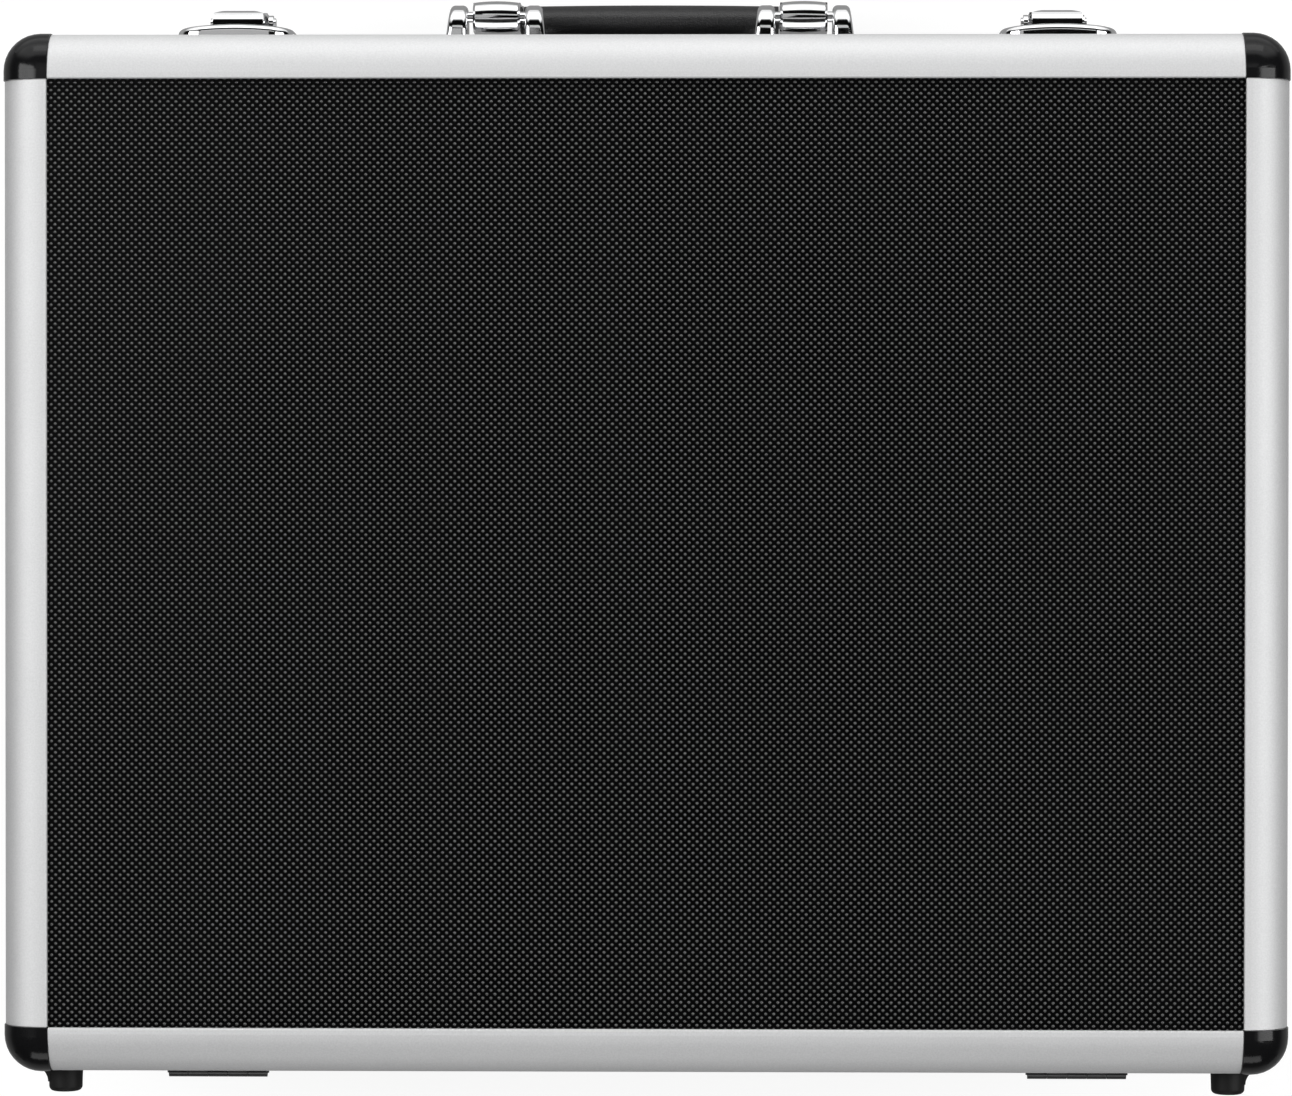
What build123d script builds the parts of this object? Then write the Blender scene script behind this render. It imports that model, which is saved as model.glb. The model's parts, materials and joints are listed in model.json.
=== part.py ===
"""Hard carrying case for a studio microphone, lying closed on its back.

Boards of black-skinned fibreboard stand in quarter-round aluminium extrusions, with moulded
corners, a tongue-and-groove rim between base and lid, two over-centre draw latches, two
five-knuckle hinges, a folding handle, four feet and foam inside. X is the case's width, Y runs
from the hinge side to the handle side, and Z from the underside to the lid.
"""

import os

from build123d import *

# ---------------------------------------------------------------- driving sizes, millimetres
WIDTH = 455.0
HEIGHT = 368.0
BASE_DEPTH = 112.0
LID_DEPTH = 50.0

EDGE_R = 14.4  # outer radius of rails, posts and rim corners
CORNER_R = 13.4  # the moulded corners are a little fuller than the rails
CORNER_PROUD = 0.3  # and stand this far out of them at the sides
RAIL_W = 16.6  # reach of an extrusion over each face
SKIN = 1.4  # extrusion wall outside the boards
BOARD = 4.0
PLAY = 0.1
RUNNING = 0.05  # round a pin that turns
TIGHT = 0.01  # round one that doesn't
INNER_LEG = 1.2
SLOT_START = 12.0  # bottom of the panel slots, from the outer plane
BOARD_EDGE = 13.2  # where a board ends, from the outer plane
PORT_R = 1.1  # screw port along every extrusion
PORT_AT = 5.42
LIP_R = 0.6  # rounding of the lip over each board
END_CHAMFER = 0.35

RIM_H = 12.0
RIM_WEB = 3.0
RIM_GAP = 0.3
TONGUE = (2.6, 4.4, 3.0)  # from, to and height of the base rim's tongue
GROOVE = (2.2, 5.4, 4.3)  # from, to and depth of the lid rim's groove

HANDLE_REACH = 22.0  # the grip stands this far out of the handle side
FOOT_REACH = 8.7

LATCH_X = 147.3
HINGE_X = 155.6
HANDLE_X = 57.3
FOOT_X = 207.8

# ---------------------------------------------------------------- values worked out from them
DEPTH = BASE_DEPTH + LID_DEPTH
SHELL_Y = (FOOT_REACH - HANDLE_REACH) / 2
Y_HANDLE = SHELL_Y + HEIGHT / 2
Y_HINGE = SHELL_Y - HEIGHT / 2
LEG_INNER = SKIN + BOARD + 2 * PLAY + INNER_LEG
BOARD_IN = SKIN + PLAY
BOARD_BACK = BOARD_IN + BOARD
SIDES = (("left", -1), ("right", 1))

FROM_CORNER = (Align.MIN, Align.MIN)
OUTWARD = {"handle": (0, 1, 0), "hinge": (0, -1, 0)}

os.makedirs("parts", exist_ok=True)


def save(part, name):
    """Labels a finished piece and writes it as its own node."""
    part.label = name
    export_step(part, f"parts/{name}.step")


# ---------------------------------------------------------------- planes


def level(z):
    """Horizontal plane on the shell's centre line."""
    return Plane((0, SHELL_Y, z))


def wall_y(side, out=0.0):
    """Y of the handle or hinge side's outer plane, moved outward."""
    return Y_HANDLE + out if side == "handle" else Y_HINGE - out


def profile_plane(side, x, z):
    """Plane across a side's hardware: local x points out of the wall, local y up."""
    outward = OUTWARD[side]
    return Plane(
        origin=(x, wall_y(side), z),
        x_dir=outward,
        z_dir=Vector(*outward).cross(Vector(0, 0, 1)),
    )


def face_plane(side, x, z, out=0.0):
    """Plane on a side's wall: its normal points outward and its local y up."""
    outward = OUTWARD[side]
    return Plane(
        origin=(x, wall_y(side, out), z),
        x_dir=Vector(0, 0, 1).cross(Vector(*outward)),
        z_dir=outward,
    )


# ---------------------------------------------------------------- extrusions and corners


def edge_bar(middle, first, second, length):
    """Quarter-round extrusion with two board slots and a screw port, from the middle of an edge."""
    plane = Plane(origin=middle, x_dir=first, z_dir=Vector(*first).cross(Vector(*second)))
    slot = BOARD + 2 * PLAY

    def on_outside(edge):
        """Whether an edge of a sawn end runs along the extrusion's outer face."""
        at = plane.to_local_coords(edge @ 0.5)
        round_face = abs(Vector(at.X - EDGE_R, at.Y - EDGE_R).length - EDGE_R) < 0.01
        sawn = abs(abs(at.Z) - length / 2) < 0.01
        return sawn and (round_face or min(at.X, at.Y) < 0.01)

    with BuildPart() as bar:
        with BuildSketch(plane) as section:
            Rectangle(RAIL_W, RAIL_W, align=FROM_CORNER)
            by_distance = section.vertices().sort_by_distance((0, 0, 0))
            fillet(by_distance[1:3], LIP_R)
            fillet(section.vertices().sort_by_distance((0, 0, 0))[0], EDGE_R)
            with Locations((LEG_INNER, LEG_INNER)):
                Rectangle(RAIL_W, RAIL_W, align=FROM_CORNER, mode=Mode.SUBTRACT)
            with Locations((SLOT_START, SKIN)):
                Rectangle(RAIL_W, slot, align=FROM_CORNER, mode=Mode.SUBTRACT)
            with Locations((SKIN, SLOT_START)):
                Rectangle(slot, RAIL_W, align=FROM_CORNER, mode=Mode.SUBTRACT)
            with Locations((PORT_AT, PORT_AT)):
                Circle(PORT_R, mode=Mode.SUBTRACT)
        extrude(amount=length / 2, both=True)
        chamfer(bar.edges().filter_by(on_outside), END_CHAMFER)
    return bar.part


def rails(half, face_z, inward_z):
    """The four rails round one face."""
    long_run, short_run = WIDTH - 2 * RAIL_W, HEIGHT - 2 * RAIL_W
    save(edge_bar((0, Y_HANDLE, face_z), (0, -1, 0), inward_z, long_run), f"{half}_rail_handle_side")
    save(edge_bar((0, Y_HINGE, face_z), (0, 1, 0), inward_z, long_run), f"{half}_rail_hinge_side")
    for name, sign in SIDES:
        middle = (sign * WIDTH / 2, SHELL_Y, face_z)
        save(edge_bar(middle, (-sign, 0, 0), inward_z, short_run), f"{half}_rail_{name}")


def posts(half, low, high):
    """The four upright corner extrusions between the moulded corners and the rim."""
    with BuildPart() as group:
        for y, inward_y in ((Y_HANDLE, -1), (Y_HINGE, 1)):
            for sign in (-1, 1):
                middle = (sign * WIDTH / 2, y, (low + high) / 2)
                add(edge_bar(middle, (-sign, 0, 0), (0, inward_y, 0), high - low))
    save(group.part, f"{half}_posts")


CORNER_T = 1.45
PEG_R = 1.0
PEG_END = RAIL_W + 5.0
PEG_START = 7.0


def moulded_corner():
    """One hollow ball corner at the base's left hinge-side corner, with a peg for each port."""
    corner_at = Location((-WIDTH / 2, Y_HINGE, 0))
    wide = RAIL_W + CORNER_PROUD
    with BuildPart() as corner:
        with Locations((-CORNER_PROUD, -CORNER_PROUD, 0)):
            Box(wide, wide, RAIL_W, align=(Align.MIN, Align.MIN, Align.MIN))
        nearest = corner.edges().sort_by_distance((-CORNER_PROUD, -CORNER_PROUD, 0))[:3]
        fillet(nearest, CORNER_R)
        openings = [corner.faces().sort_by(axis)[-1] for axis in (Axis.X, Axis.Y, Axis.Z)]
        offset(amount=-CORNER_T, openings=openings)
        peg_middle = (PEG_START + PEG_END) / 2
        for place, turn in (
            ((peg_middle, PORT_AT, PORT_AT), (0, 90, 0)),
            ((PORT_AT, peg_middle, PORT_AT), (90, 0, 0)),
            ((PORT_AT, PORT_AT, peg_middle), (0, 0, 0)),
        ):
            with Locations(place):
                Cylinder(PEG_R, PEG_END - PEG_START, rotation=turn)
    return corner.part.moved(corner_at)


def corners():
    """Four moulded corners round the base's underside, and their mirror image on the lid."""
    with BuildPart() as base:
        add(moulded_corner())
        mirror(about=Plane.YZ)
        mirror(about=Plane.XZ.offset(-SHELL_Y))
    with BuildPart() as lid:
        mirror(base.part, about=Plane.XY.offset(DEPTH / 2))
    save(base.part, "base_corners")
    save(lid.part, "lid_corners")


# ---------------------------------------------------------------- rim


def ring(z, outer, inner, height):
    """Rounded frame between two insets from the outer planes, extruded upward."""
    with BuildPart() as frame:
        with BuildSketch(level(z)):
            RectangleRounded(WIDTH - 2 * outer, HEIGHT - 2 * outer, EDGE_R - outer)
            RectangleRounded(
                WIDTH - 2 * inner, HEIGHT - 2 * inner, EDGE_R - inner, mode=Mode.SUBTRACT
            )
        extrude(amount=height)
    return frame.part


def rims():
    """Base rim with its tongue, and lid rim with its groove, both slotted for the walls."""
    slot_depth = RIM_H - RIM_WEB
    lid_low = BASE_DEPTH + RIM_GAP
    lid_web_top = BASE_DEPTH + GROOVE[2] + RIM_WEB
    wall_room = BASE_DEPTH + RIM_H - lid_web_top
    with BuildPart() as base_rim:
        add(ring(BASE_DEPTH - RIM_H, 0, LEG_INNER, RIM_H))
        add(ring(BASE_DEPTH - RIM_H, SKIN, BOARD_BACK + PLAY, slot_depth), mode=Mode.SUBTRACT)
        add(ring(BASE_DEPTH, TONGUE[0], TONGUE[1], TONGUE[2]))
        chamfer(base_rim.faces().sort_by(Axis.Z)[-1].edges(), 0.5)
    with BuildPart() as lid_rim:
        add(ring(lid_low, 0, LEG_INNER, RIM_H - RIM_GAP))
        add(ring(lid_low, GROOVE[0], GROOVE[1], GROOVE[2] - RIM_GAP), mode=Mode.SUBTRACT)
        add(ring(lid_web_top, SKIN, BOARD_BACK + PLAY, wall_room), mode=Mode.SUBTRACT)
    save(base_rim.part, "base_rim")
    save(lid_rim.part, "lid_rim")


# ---------------------------------------------------------------- boards

BODY_SCREWS = (-17.0, -27.0)  # down the latch body's pocket, from the split
KEEPER_STUDS = ((-13.0, 17.0), (13.0, 17.0))
HINGE_RIVETS = (-14.0, 0.0, 14.0)
HINGE_RIVET_Z = 19.5
RIVET_R = 1.6
STUD_R = 2.0
SCREW_R = 1.6
HOLE_PLAY = 0.1
HANDLE_Z = 55.0
BRACKET_STUD = 15.0  # above and below the handle's pivot
FOOT_Z = {"base": 26.0, "lid": BASE_DEPTH + 24.0}


def wall_holes(half):
    """Fastener holes through the handle-side and hinge-side walls: x, z and radius."""
    handle_side, hinge_side = [], []
    for _, sign in SIDES:
        for x in HINGE_RIVETS:
            z = BASE_DEPTH + (HINGE_RIVET_Z if half == "lid" else -HINGE_RIVET_Z)
            hinge_side.append((sign * HINGE_X + x, z, RIVET_R))
        hinge_side.append((sign * FOOT_X, FOOT_Z[half], SCREW_R))
        if half == "lid":
            for x, z in KEEPER_STUDS:
                handle_side.append((sign * LATCH_X + x, BASE_DEPTH + z, STUD_R))
        else:
            for z in BODY_SCREWS:
                handle_side.append((sign * LATCH_X, BASE_DEPTH + z, SCREW_R))
            for z in (-BRACKET_STUD, BRACKET_STUD):
                handle_side.append((sign * HANDLE_X, HANDLE_Z + z, STUD_R))
    return handle_side, hinge_side


def walls(half, low, high):
    """Four wall boards of one half, drilled for what is fastened to them."""
    middle_z, tall = (low + high) / 2, high - low
    for side, holes in zip(("handle", "hinge"), wall_holes(half)):
        y = wall_y(side, -(BOARD_IN + BOARD / 2))
        with BuildPart() as wall:
            with Locations((0, y, middle_z)):
                Box(WIDTH - 2 * BOARD_EDGE, BOARD, tall)
            for x, z, radius in holes:
                with Locations((x, y, z)):
                    Cylinder(
                        radius + HOLE_PLAY, 2 * BOARD, rotation=(90, 0, 0), mode=Mode.SUBTRACT
                    )
        save(wall.part, f"{half}_wall_{side}_side")
    for name, sign in SIDES:
        x = sign * (WIDTH / 2 - BOARD_IN - BOARD / 2)
        with BuildPart() as wall:
            with Locations((x, SHELL_Y, middle_z)):
                Box(BOARD, HEIGHT - 2 * BOARD_EDGE, tall)
        save(wall.part, f"{half}_wall_{name}")


def face_board(z_middle, name):
    """The big board that closes one half."""
    with BuildPart() as face:
        with Locations((0, SHELL_Y, z_middle)):
            Box(WIDTH - 2 * BOARD_EDGE, HEIGHT - 2 * BOARD_EDGE, BOARD)
    save(face.part, name)


def shells():
    """Both halves' boards, rails, posts, corners and rims."""
    wall_top = BASE_DEPTH - RIM_WEB - PLAY
    wall_low = BASE_DEPTH + GROOVE[2] + RIM_WEB + PLAY
    face_board(BOARD_IN + BOARD / 2, "base_floor_panel")
    face_board(DEPTH - BOARD_IN - BOARD / 2, "lid_top_panel")
    walls("base", BOARD_EDGE, wall_top)
    walls("lid", wall_low, DEPTH - BOARD_EDGE)
    rails("base", 0, (0, 0, 1))
    rails("lid", DEPTH, (0, 0, -1))
    posts("base", RAIL_W, BASE_DEPTH - RIM_H)
    posts("lid", BASE_DEPTH + RIM_H, DEPTH - RAIL_W)
    corners()
    rims()


# ---------------------------------------------------------------- foam

FOAM_INSET = 8.7
FOAM_R = 6.0
FOAM_FLOOR = 12.0
FOAM_TOP = BASE_DEPTH - 1.0
LID_FOAM_LOW = BASE_DEPTH + 4.0
POCKET_R = 5.0
# Pockets of the insert, from the shell's centre: low x, low y, high x, high y.
POCKETS = (
    (-203.0, 28.0, -3.0, 158.0),  # power supply
    (15.0, 8.0, 203.0, 158.0),  # shock mount
    (-203.0, -44.0, -3.0, 10.0),  # mains lead
    (-203.0, -158.0, 59.0, -62.0),  # boxed microphone
    (77.0, -158.0, 203.0, -10.0),  # microphone cable
)


def foams():
    """Floor pad, die-cut insert and lid pad."""
    wide, high = WIDTH - 2 * FOAM_INSET, HEIGHT - 2 * FOAM_INSET
    floor_low = LEG_INNER + PLAY
    with BuildPart() as floor_pad:
        with BuildSketch(level(floor_low)):
            RectangleRounded(wide, high, FOAM_R)
        extrude(amount=FOAM_FLOOR)
    with BuildPart() as insert:
        with BuildSketch(level(floor_low + FOAM_FLOOR)):
            RectangleRounded(wide, high, FOAM_R)
            for x0, y0, x1, y1 in POCKETS:
                with Locations(((x0 + x1) / 2, (y0 + y1) / 2)):
                    RectangleRounded(x1 - x0, y1 - y0, POCKET_R, mode=Mode.SUBTRACT)
        extrude(amount=FOAM_TOP - floor_low - FOAM_FLOOR)
    with BuildPart() as lid_pad:
        with BuildSketch(level(LID_FOAM_LOW)):
            RectangleRounded(wide, high, FOAM_R)
        extrude(amount=DEPTH - LEG_INNER - PLAY - LID_FOAM_LOW)
    save(floor_pad.part, "base_foam_floor")
    save(insert.part, "base_foam_insert")
    save(lid_pad.part, "lid_foam")


# ---------------------------------------------------------------- feet

FOOT_R = 6.2
FOOT_SPIGOT_R = 3.0
FOOT_TIP_R = 5.9
FOOT_ROUND = 1.8
FOOT_WEB = (9.4, 5.2, 3.0)  # reach towards the corner, height and half thickness of its web
FOOT_WEB_WAIST = (0.7, 2.2)  # the web's hollow edge: out of the body, down from the wall
FOOT_WEB_SINK = 0.2
FOOT_WELL = (2.7, 5.2)  # radius and depth of the screw well
FOOT_WELL_WALL = 0.7
SCREW_HEAD = (2.4, 1.6)  # radius and height
SCREW_HEAD_ROUND = 0.6
NUT = (3.0, 1.6)  # radius over its corners, and height
NUT_SHOWS = 0.4  # screws and studs end this far past their nuts


def foot_axis(x, z):
    """Plane on the hinge side's wall board, its normal pointing out of the wall."""
    return face_plane("hinge", x, z, -BOARD_IN)


def foot(z):
    """The left rubber foot: a spigot in the wall, a body with a web and a screw well."""
    x = -FOOT_X
    base = BOARD_IN
    tip = base + FOOT_REACH
    well_floor = tip - FOOT_WELL[1]
    reach, high, half = FOOT_WEB
    root = FOOT_WELL[0] + FOOT_WELL_WALL
    with BuildPart() as body:
        with BuildSketch(foot_axis(x, z)):
            Circle(FOOT_SPIGOT_R)
        extrude(amount=base + PLAY)
        with BuildSketch(foot_axis(x, z).offset(base + PLAY)):
            Circle(FOOT_R)
        with BuildSketch(foot_axis(x, z).offset(tip)):
            Circle(FOOT_TIP_R)
        loft()
        fillet(body.faces().sort_by(Axis.Y)[0].edges(), FOOT_ROUND)
        with BuildSketch(Plane((x, Y_HINGE, z), x_dir=(-1, 0, 0), z_dir=(0, 0, -1))):
            with BuildLine():
                start, end = (reach, -PLAY), (FOOT_R - FOOT_WEB_SINK, -high)
                ThreePointArc(start, (FOOT_R + FOOT_WEB_WAIST[0], -FOOT_WEB_WAIST[1]), end)
                Polyline(end, (root, -high), (root, -PLAY), start)
            make_face()
        extrude(amount=half, both=True)
        with BuildSketch(foot_axis(x, z).offset(well_floor)):
            Circle(FOOT_WELL[0])
        extrude(amount=FOOT_WELL[1], mode=Mode.SUBTRACT)
        with BuildSketch(foot_axis(x, z)):
            Circle(SCREW_R + HOLE_PLAY)
        extrude(amount=well_floor, mode=Mode.SUBTRACT)
    return body.part


def foot_screw(x, z):
    """Pan-head screw in the foot's well, with its nut inside the wall."""
    well_floor = BOARD_IN + FOOT_REACH - FOOT_WELL[1]
    with BuildPart() as screw:
        with BuildSketch(foot_axis(x, z).offset(well_floor)):
            Circle(SCREW_HEAD[0])
        extrude(amount=SCREW_HEAD[1])
        fillet(screw.faces().sort_by(Axis.Y)[0].edges(), SCREW_HEAD_ROUND)
        with BuildSketch(foot_axis(x, z).offset(well_floor)):
            Circle(SCREW_R)
        extrude(amount=-(well_floor + BOARD + NUT[1] + NUT_SHOWS))
        with BuildSketch(foot_axis(x, z).offset(-BOARD)):
            RegularPolygon(NUT[0], 6)
        extrude(amount=-NUT[1])
    return screw.part


def feet():
    """Two feet on each half, so that the case also stands upright."""
    for half, z in FOOT_Z.items():
        with BuildPart() as pair:
            left = foot(z)
            add(left)
            add(left.mirror(Plane.YZ))
        with BuildPart() as screws:
            for _, sign in SIDES:
                add(foot_screw(sign * FOOT_X, z))
        save(pair.part, f"{half}_feet")
        save(screws.part, f"{half}_foot_screws")


# ---------------------------------------------------------------- hinges

LEAF_W = 41.6
LEAF_T = 1.2
LEAF_REACH = 25.5
LEAF_FROM = 1.75
BARREL_W = 35.8
BARREL_R = 2.9
BARREL_OUT = 3.7  # hinge axis, out of the hinge side
HINGE_PIN_R = 1.5
KNUCKLES = 5
KNUCKLE_GAP = 0.2
KNUCKLE_RAMP = (0.9, 2.5, 7.0)  # up from the split: its root, its shoulder and its toe
LEAF_ROUND = 4.0
RIVET_HEAD = (3.0, 1.1)  # radius and height
RIVET_ROUND = 0.9
RIVET_TAIL = (2.6, 1.1)


def leaf(x, up, first_knuckle):
    """One hinge leaf: a plate joggled off the rim onto the wall, and its share of the knuckles."""
    knuckle_w = BARREL_W / KNUCKLES
    low = -SKIN
    with BuildPart() as part:
        with BuildSketch(profile_plane("hinge", x, BASE_DEPTH)):
            with BuildLine():
                Polyline(
                    (0, up * LEAF_FROM),
                    (0, up * (RIM_H + PLAY)),
                    (low, up * (RIM_H + PLAY)),
                    (low, up * LEAF_REACH),
                    (low + LEAF_T, up * LEAF_REACH),
                    (low + LEAF_T, up * (RIM_H + PLAY + LEAF_T)),
                    (LEAF_T, up * (RIM_H + PLAY + LEAF_T)),
                    (LEAF_T, up * LEAF_FROM),
                    close=True,
                )
            make_face()
        extrude(amount=LEAF_W / 2, both=True)
        tips = part.edges().filter_by(Axis.Y).group_by(Axis.Z)
        fillet(tips[-1] if up > 0 else tips[0], LEAF_ROUND)
        low_ramp, shoulder, toe = (up * z for z in KNUCKLE_RAMP)
        for k in range(first_knuckle, KNUCKLES, 2):
            at = x - BARREL_W / 2 + (k + 0.5) * knuckle_w
            with BuildSketch(profile_plane("hinge", at, BASE_DEPTH)):
                with Locations((BARREL_OUT, 0)):
                    Circle(BARREL_R)
                with BuildLine():
                    Polyline(
                        (LEAF_T / 2, low_ramp),
                        (LEAF_T / 2, toe),
                        (LEAF_T, toe),
                        (BARREL_OUT + 1.0, shoulder),
                        (BARREL_OUT, low_ramp),
                        close=True,
                    )
                make_face()
                with Locations((BARREL_OUT, 0)):
                    Circle(HINGE_PIN_R + RUNNING, mode=Mode.SUBTRACT)
            extrude(amount=(knuckle_w - KNUCKLE_GAP) / 2, both=True)
        for dx in HINGE_RIVETS:
            with Locations((x + dx, wall_y("hinge"), BASE_DEPTH + up * HINGE_RIVET_Z)):
                Cylinder(RIVET_R + HOLE_PLAY, 6, rotation=(90, 0, 0), mode=Mode.SUBTRACT)
    return part.part


def rivet(x, z):
    """Domed rivet through a hinge leaf and the wall, with its formed tail inside."""
    surface = -SKIN + LEAF_T
    with BuildPart() as body:
        with BuildSketch(face_plane("hinge", x, z, surface)):
            Circle(RIVET_HEAD[0])
        extrude(amount=RIVET_HEAD[1])
        fillet(body.faces().sort_by(Axis.Y)[0].edges(), RIVET_ROUND)
        with BuildSketch(face_plane("hinge", x, z, surface)):
            Circle(RIVET_R)
        extrude(amount=-(surface + BOARD_BACK + RIVET_TAIL[1]))
        with BuildSketch(face_plane("hinge", x, z, -BOARD_BACK)):
            Circle(RIVET_TAIL[0])
        extrude(amount=-RIVET_TAIL[1])
    return body.part


def hinges():
    """Two hinges; the pins are fast in the base leaves."""
    for half, up, first in (("base", -1, 0), ("lid", 1, 1)):
        for name, sign in SIDES:
            save(leaf(sign * HINGE_X, up, first), f"hinge_{half}_leaf_{name}")
        with BuildPart() as rivets:
            for _, sign in SIDES:
                for dx in HINGE_RIVETS:
                    add(rivet(sign * HINGE_X + dx, BASE_DEPTH + up * HINGE_RIVET_Z))
        save(rivets.part, f"hinge_{half}_rivets")
    with BuildPart() as pins:
        for _, sign in SIDES:
            with Locations((sign * HINGE_X, wall_y("hinge", BARREL_OUT), BASE_DEPTH)):
                Cylinder(HINGE_PIN_R, BARREL_W + 1.0, rotation=(0, 90, 0))
    save(pins.part, "hinge_pins")


# ---------------------------------------------------------------- latches

LATCH_W = 42.0
CROWN_SIDE = 3.4
CROWN_TOP = 5.2
CROWN_ROUND = 2.2
SPLIT_R = 2.5  # outline corners beside the split
BODY_R, KEEPER_R = 13.0, 9.0  # and at the far ends
BODY_FROM, BODY_TO = -1.2, -40.0
KEEPER_FROM, KEEPER_TO = 1.2, 22.5
POCKET_HALF = 9.4
POCKET_TO = -33.5
POCKET_FLOOR = 1.2
LUG_HALF = 11.0
LUG_R = 3.2
LUG_FLARE = 1.6
LUG_FOOT = 2.0  # out of the wall
PIVOT = (7.9, -10.0)  # lever's pivot: out of the wall, above the split
LINK = (6.0, -19.0)  # hook's pivot on the lever
PIVOT_PIN_R = 1.5
LINK_PIN_R = 1.3
LEVER_HALF = 7.4
LEVER_WALL = 1.4
LEVER_ROUND = (2.4, 1.4, 2.6)  # under its cheeks, over its head, along its sides
HOOK_HALF = 9.0
HOOK_LEG_IN = 7.7
HOOK_T = 1.6
HOOK_EYE_R = 2.5
HOOK_CROWN = (10.4, 11.8)  # out of the wall at its sides and in its middle
HOOK_CROWN_FROM = -5.8
HOOK_BEND = (2.2, 4.4)  # at the legs, and above the nose
NOSE_Z = 9.8
NOSE_CLEAR = 0.3
GROOVE_R = 2.0
GROOVE_SIDE = 0.8
WASHER = (4.0, 1.0)  # radius and thickness


def crown_block(x, near, far, far_r):
    """Crowned casting on the split: its outline is drawn on the wall and its crown across it."""
    up = 1 if far > 0 else -1
    length = abs(far - near)
    with BuildPart() as block:
        with BuildSketch(face_plane("handle", x, BASE_DEPTH, -SKIN)) as outline:
            with Locations((0, (near + far) / 2)):
                Rectangle(LATCH_W, length)
            ends = outline.vertices().group_by(Axis.Y)
            fillet(ends[-1] if up > 0 else ends[0], far_r)
            near_corners = outline.vertices().group_by(Axis.Y)
            fillet(near_corners[0] if up > 0 else near_corners[-1], SPLIT_R)
        extrude(amount=SKIN + CROWN_TOP + 2)
        with BuildSketch(Plane((x, Y_HANDLE, BASE_DEPTH + min(near, far) - 1))):
            edge = LATCH_W / 2 + 1
            with BuildLine():
                Polyline((edge, CROWN_SIDE), (edge, -SKIN - 1), (-edge, -SKIN - 1), (-edge, CROWN_SIDE))
                ThreePointArc((-edge, CROWN_SIDE), (0, CROWN_TOP), (edge, CROWN_SIDE))
            make_face()
        extrude(amount=length + 2, mode=Mode.INTERSECT)
        fillet(block.faces().sort_by(Axis.Y)[-1].edges(), CROWN_ROUND)
        with BuildSketch(profile_plane("handle", x, BASE_DEPTH)):
            with Locations((-SKIN, up * RIM_H / 2)):
                Rectangle(2 * SKIN, RIM_H + 2 * PLAY)
        extrude(amount=LATCH_W, both=True, mode=Mode.SUBTRACT)
    return block.part


def latch_body(x):
    """Cast body with a pocket for the lever, and the two lugs that hold its pivot pin."""
    with BuildPart() as body:
        add(crown_block(x, BODY_FROM, BODY_TO, BODY_R))
        with BuildSketch(profile_plane("handle", x, BASE_DEPTH)):
            with Locations(PIVOT):
                Circle(LUG_R)
            with BuildLine():
                Polyline(
                    (PIVOT[0], PIVOT[1] + LUG_R),
                    (LUG_FOOT, PIVOT[1] + LUG_R + LUG_FLARE),
                    (LUG_FOOT, PIVOT[1] - LUG_R - LUG_FLARE),
                    (PIVOT[0], PIVOT[1] - LUG_R),
                    close=True,
                )
            make_face()
        extrude(amount=LUG_HALF, both=True)
        pocket_top = BODY_FROM + 1.0
        with BuildSketch(face_plane("handle", x, BASE_DEPTH, POCKET_FLOOR)):
            with Locations((0, (pocket_top + POCKET_TO) / 2)):
                Rectangle(2 * POCKET_HALF, pocket_top - POCKET_TO)
        extrude(amount=20, mode=Mode.SUBTRACT)
        with Locations((x, wall_y("handle", PIVOT[0]), BASE_DEPTH + PIVOT[1])):
            Cylinder(PIVOT_PIN_R + TIGHT, 4 * LUG_HALF, rotation=(0, 90, 0), mode=Mode.SUBTRACT)
        for z in BODY_SCREWS:
            with Locations((x, wall_y("handle"), BASE_DEPTH + z)):
                Cylinder(SCREW_R + HOLE_PLAY, 8, rotation=(90, 0, 0), mode=Mode.SUBTRACT)
    return body.part


def keeper(x):
    """Cast keeper on the lid: a groove for the hook's nose, and studs through the wall."""
    with BuildPart() as part:
        add(crown_block(x, KEEPER_FROM, KEEPER_TO, KEEPER_R))
        with BuildSketch(profile_plane("handle", x, BASE_DEPTH)):
            with Locations((CROWN_TOP, NOSE_Z)):
                Circle(GROOVE_R)
        extrude(amount=HOOK_HALF + GROOVE_SIDE, both=True, mode=Mode.SUBTRACT)
        for dx, dz in KEEPER_STUDS:
            with Locations(face_plane("handle", x - dx, BASE_DEPTH + dz, -SKIN)):
                Cylinder(
                    STUD_R,
                    BOARD_BACK - SKIN + WASHER[1] + NUT_SHOWS,
                    align=(Align.CENTER, Align.CENTER, Align.MAX),
                )
    return part.part


def washer(x, z):
    """Push-on washer over a stud, against the wall's inner face."""
    with BuildPart() as part:
        with BuildSketch(face_plane("handle", x, z, -BOARD_BACK)):
            Circle(WASHER[0])
            Circle(STUD_R + TIGHT, mode=Mode.SUBTRACT)
        extrude(amount=-WASHER[1])
    return part.part


def body_screw(x, z):
    """Pan-head screw in the pocket's floor, with its nut inside the wall."""
    with BuildPart() as screw:
        with BuildSketch(face_plane("handle", x, z, POCKET_FLOOR)):
            Circle(SCREW_HEAD[0])
        extrude(amount=1.0)
        with BuildSketch(face_plane("handle", x, z, POCKET_FLOOR)):
            Circle(SCREW_R)
        extrude(amount=-(POCKET_FLOOR + BOARD_BACK + NUT[1] + NUT_SHOWS))
        with BuildSketch(face_plane("handle", x, z, -BOARD_BACK)):
            RegularPolygon(NUT[0], 6)
        extrude(amount=-NUT[1])
    return screw.part


LEVER_OUTLINE = (  # out of the wall, from the split
    (12.5, -7.6),
    (12.3, -27.0),
    (10.0, -39.0),
    (8.4, -39.4),
    (8.6, -31.0),
    (4.0, -22.6),
    (3.4, -17.4),
    (5.4, -8.0),
)


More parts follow.
